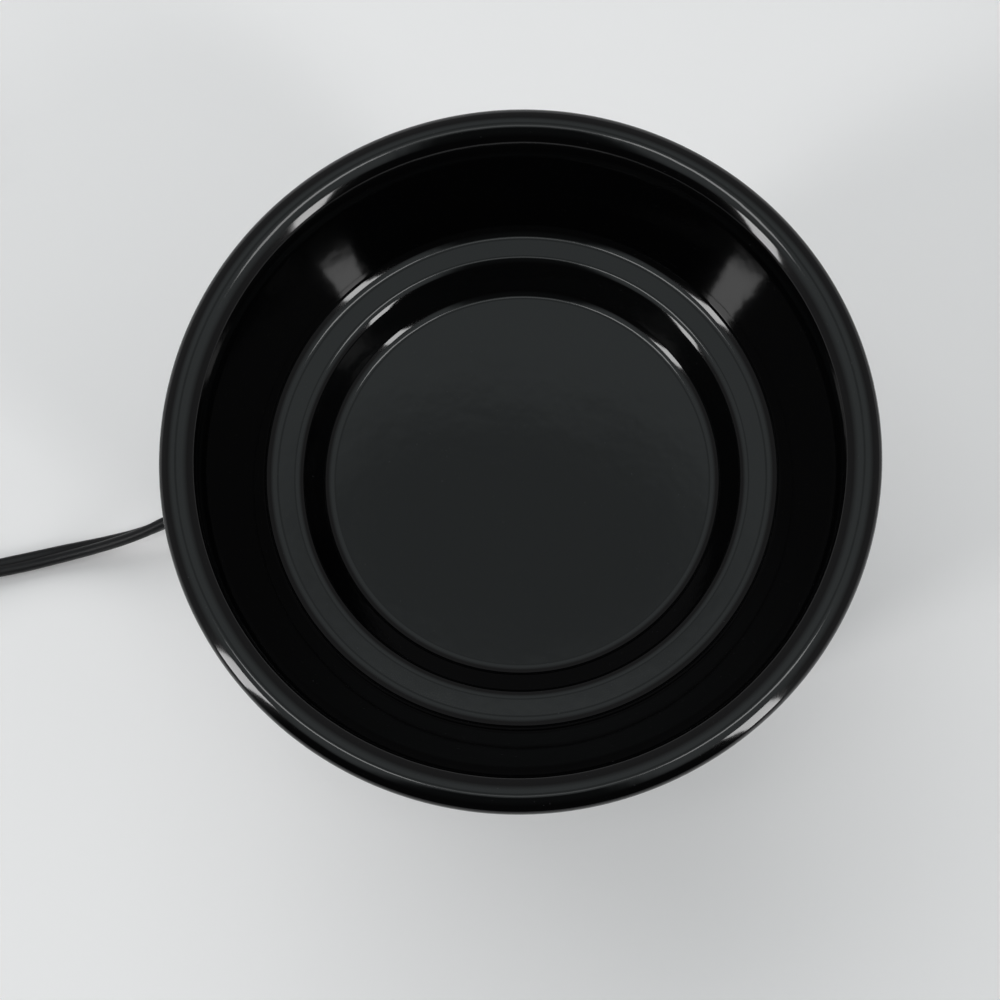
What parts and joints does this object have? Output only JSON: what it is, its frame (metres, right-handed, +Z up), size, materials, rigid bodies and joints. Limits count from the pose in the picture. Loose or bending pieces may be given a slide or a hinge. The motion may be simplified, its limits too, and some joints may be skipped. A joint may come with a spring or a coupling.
{
  "type": "wax melt warmer",
  "caption": "Small electric wax warmer: a black glazed dish with a stepped well rests on a hot plate in a round glazed pot, with a flat mains lead, in-line switch and plug.",
  "frame": {"origin": "on the table, on the axis of the pot and dish", "axes": "+Z up along the axis of the pot; the lead leaves the pot along -X"},
  "size_m": [0.3223, 0.1465, 0.112],
  "materials": {
    "dish_glaze": "gloss",
    "pot_glaze": "gloss",
    "seal": "matte",
    "plate": "satin",
    "mica": "satin",
    "ribbon": "satin",
    "steel": "satin",
    "bush": "matte",
    "sleeve": "matte",
    "wire": "satin",
    "base": "matte",
    "foot": "matte",
    "cord": "satin",
    "switch": "satin",
    "rocker": "gloss",
    "contact": "satin",
    "strap": "matte"
  },
  "bodies": {
    "warmer": {"pot": "pot_glaze", "plate_gasket": "seal", "hot_plate": "plate", "upper_mica": "mica", "lower_mica": "mica", "heater_ribbon": "ribbon", "clamp_disc": "steel", "terminal_posts": "steel", "terminal_bushes": "bush", "base_plate": "base", "feet": "foot", "tie_rod": "steel", "tie_washers": "steel", "tie_nuts": "steel", "thermal_fuse": "steel", "fuse_sleeve": "sleeve", "fuse_clip": "steel", "clip_screws": "steel", "fuse_crimps": "contact", "strain_relief": "cord", "live_wire": "wire", "link_wire": "wire", "neutral_wire": "wire", "switch_base": "switch", "switch_cover": "switch", "rocker_pin": "steel", "switch_contacts": "contact", "switch_screws": "steel", "switch_wires": "wire", "cord_lead": "cord", "cord_run": "cord", "cord_tail": "cord", "cord_coil": "cord", "cord_tie": "strap", "plug_body": "cord", "plug_blades": "contact"},
    "dish": {"wax_dish": "dish_glaze"},
    "rocker": {"rocker": "rocker", "rocker_contact": "contact"}
  },
  "joints": [
    {"name": "dish_lift", "type": "slide", "parent": "warmer", "child": "dish", "axis": [0, 0, 1], "range_m": [0, 0.06]},
    {"name": "rocker_turn", "type": "hinge", "parent": "warmer", "child": "rocker", "pos_m": [-0.18, -0.022, 0.0105], "axis": [0, 1, 0], "range_deg": [0, 16]}
  ]
}
